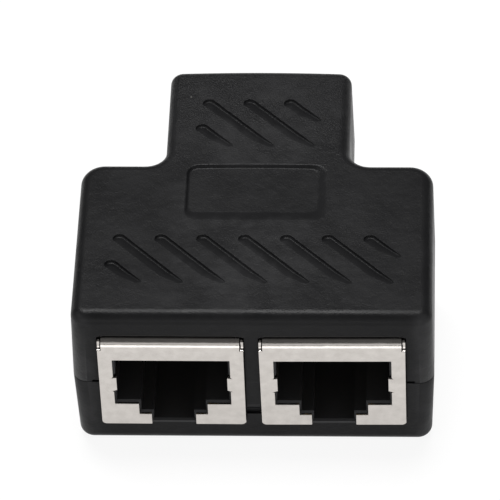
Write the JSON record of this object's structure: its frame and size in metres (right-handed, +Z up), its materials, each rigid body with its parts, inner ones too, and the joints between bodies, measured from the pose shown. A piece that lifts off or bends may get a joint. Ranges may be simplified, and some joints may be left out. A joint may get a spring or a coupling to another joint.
{
  "type": "network splitter block",
  "caption": "T-shaped moulded splitter block with shielded network sockets side by side at the front, one at the neck's end, slanting grip grooves and a blank label recess.",
  "frame": {"origin": "middle of the block's footprint, on the surface that it stands on", "axes": "+Z up through the roof with the grooves; -Y out of the pair of sockets; +Y out of the single socket at the neck; +X to the right when the pair of sockets is seen from the front"},
  "size_m": [0.0398, 0.04, 0.0206],
  "materials": {
    "housing_plastic": "finely textured black moulding",
    "shield_plating": "smooth nickel-plated sheet",
    "insert_plastic": "smooth black moulding",
    "contact_plating": "gold-plated wire",
    "board_laminate": "green lacquered laminate"
  },
  "bodies": {
    "root": {"upper_shell": "housing_plastic", "lower_shell": "housing_plastic", "circuit_board": "board_laminate", "left_shield": "shield_plating", "left_insert": "insert_plastic", "left_contact_1": "contact_plating", "left_contact_2": "contact_plating", "left_contact_3": "contact_plating", "left_contact_4": "contact_plating", "left_contact_5": "contact_plating", "left_contact_6": "contact_plating", "left_contact_7": "contact_plating", "left_contact_8": "contact_plating", "right_shield": "shield_plating", "right_insert": "insert_plastic", "right_contact_1": "contact_plating", "right_contact_2": "contact_plating", "right_contact_3": "contact_plating", "right_contact_4": "contact_plating", "right_contact_5": "contact_plating", "right_contact_6": "contact_plating", "right_contact_7": "contact_plating", "right_contact_8": "contact_plating", "rear_shield": "shield_plating", "rear_insert": "insert_plastic", "rear_contact_1": "contact_plating", "rear_contact_2": "contact_plating", "rear_contact_3": "contact_plating", "rear_contact_4": "contact_plating", "rear_contact_5": "contact_plating", "rear_contact_6": "contact_plating", "rear_contact_7": "contact_plating", "rear_contact_8": "contact_plating"}
  },
  "joints": []
}
